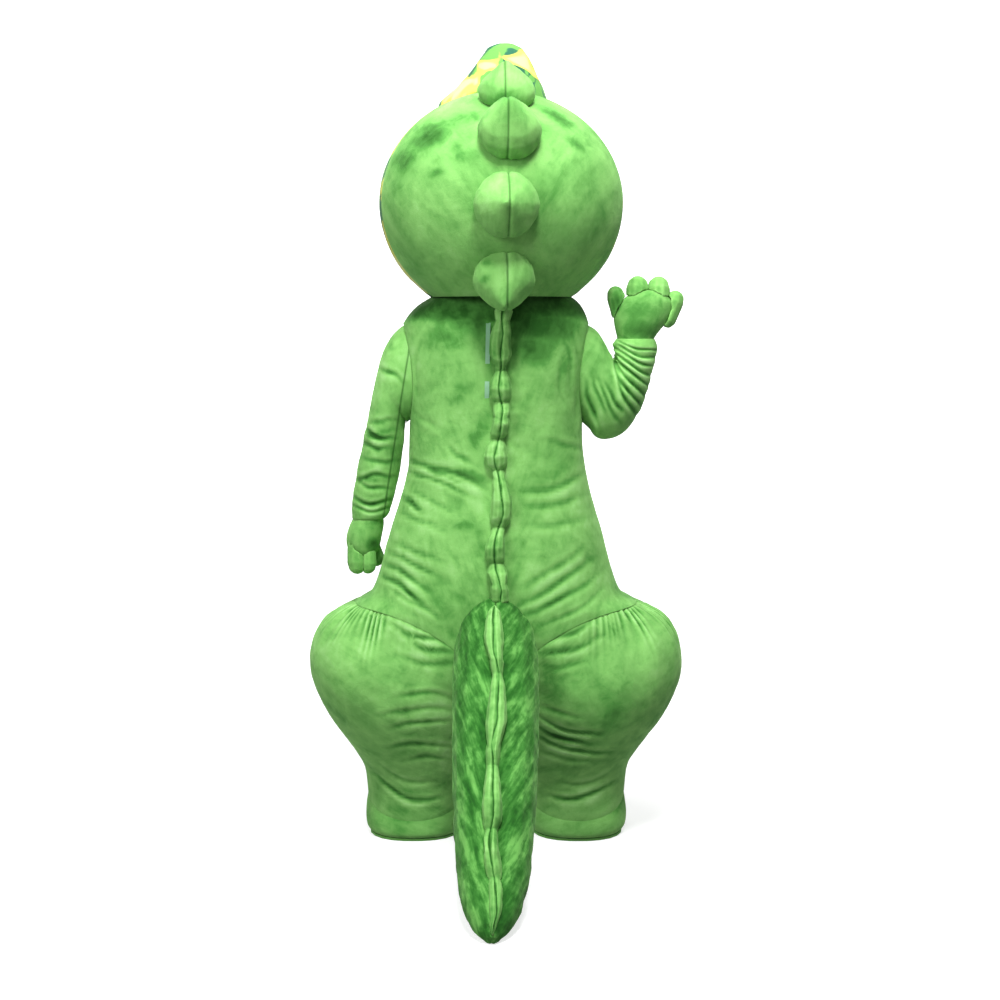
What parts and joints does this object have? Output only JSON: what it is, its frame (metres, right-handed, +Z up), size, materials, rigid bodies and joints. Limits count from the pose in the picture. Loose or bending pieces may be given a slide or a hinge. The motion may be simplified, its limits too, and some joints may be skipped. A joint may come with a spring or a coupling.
{
  "type": "dinosaur mascot costume",
  "caption": "Full-body plush dinosaur costume, filled out as worn: round head with stuffed spikes, long tail, wide hips, gloves and foot covers.",
  "frame": {"origin": "between the wearer's shoulders, where the body hangs from them", "axes": "+Z up, the face looks along -Y, +X is the wearer's left"},
  "size_m": [0.98, 1.2545, 2.056],
  "materials": {
    "plush": "short plush",
    "dark_plush": "brushed short plush",
    "print": "printed short plush",
    "net": "knitted net",
    "eye": "smooth fleece",
    "tape": "woven tape",
    "sole": "matt foam rubber"
  },
  "bodies": {
    "root": {"head_back_left": "plush", "head_back_right": "plush", "head_front": "print", "vision_mesh": "net", "muzzle": "plush", "jaw": "plush", "eye_left": "eye", "eye_right": "eye", "head_spike_1": "plush", "head_spike_2": "plush", "head_spike_3": "plush", "head_spike_4": "plush", "head_crest": "print", "back_left": "plush", "back_right": "plush", "front": "plush", "zip_tape": "tape", "sleeve_left": "plush", "sleeve_right": "plush", "glove_left": "plush", "glove_right": "plush", "leg_left_back": "plush", "leg_left_front": "plush", "leg_right_back": "plush", "leg_right_front": "plush", "foot_left": "plush", "foot_right": "plush", "sole_left": "sole", "sole_right": "sole", "tail_left": "dark_plush", "tail_right": "dark_plush", "ridge_back": "plush", "ridge_tail": "plush", "digit_left_1": "plush", "digit_left_2": "plush", "digit_left_3": "plush", "digit_left_4": "plush", "digit_right_1": "plush", "digit_right_2": "plush", "digit_right_3": "plush", "digit_right_4": "plush"}
  },
  "joints": []
}
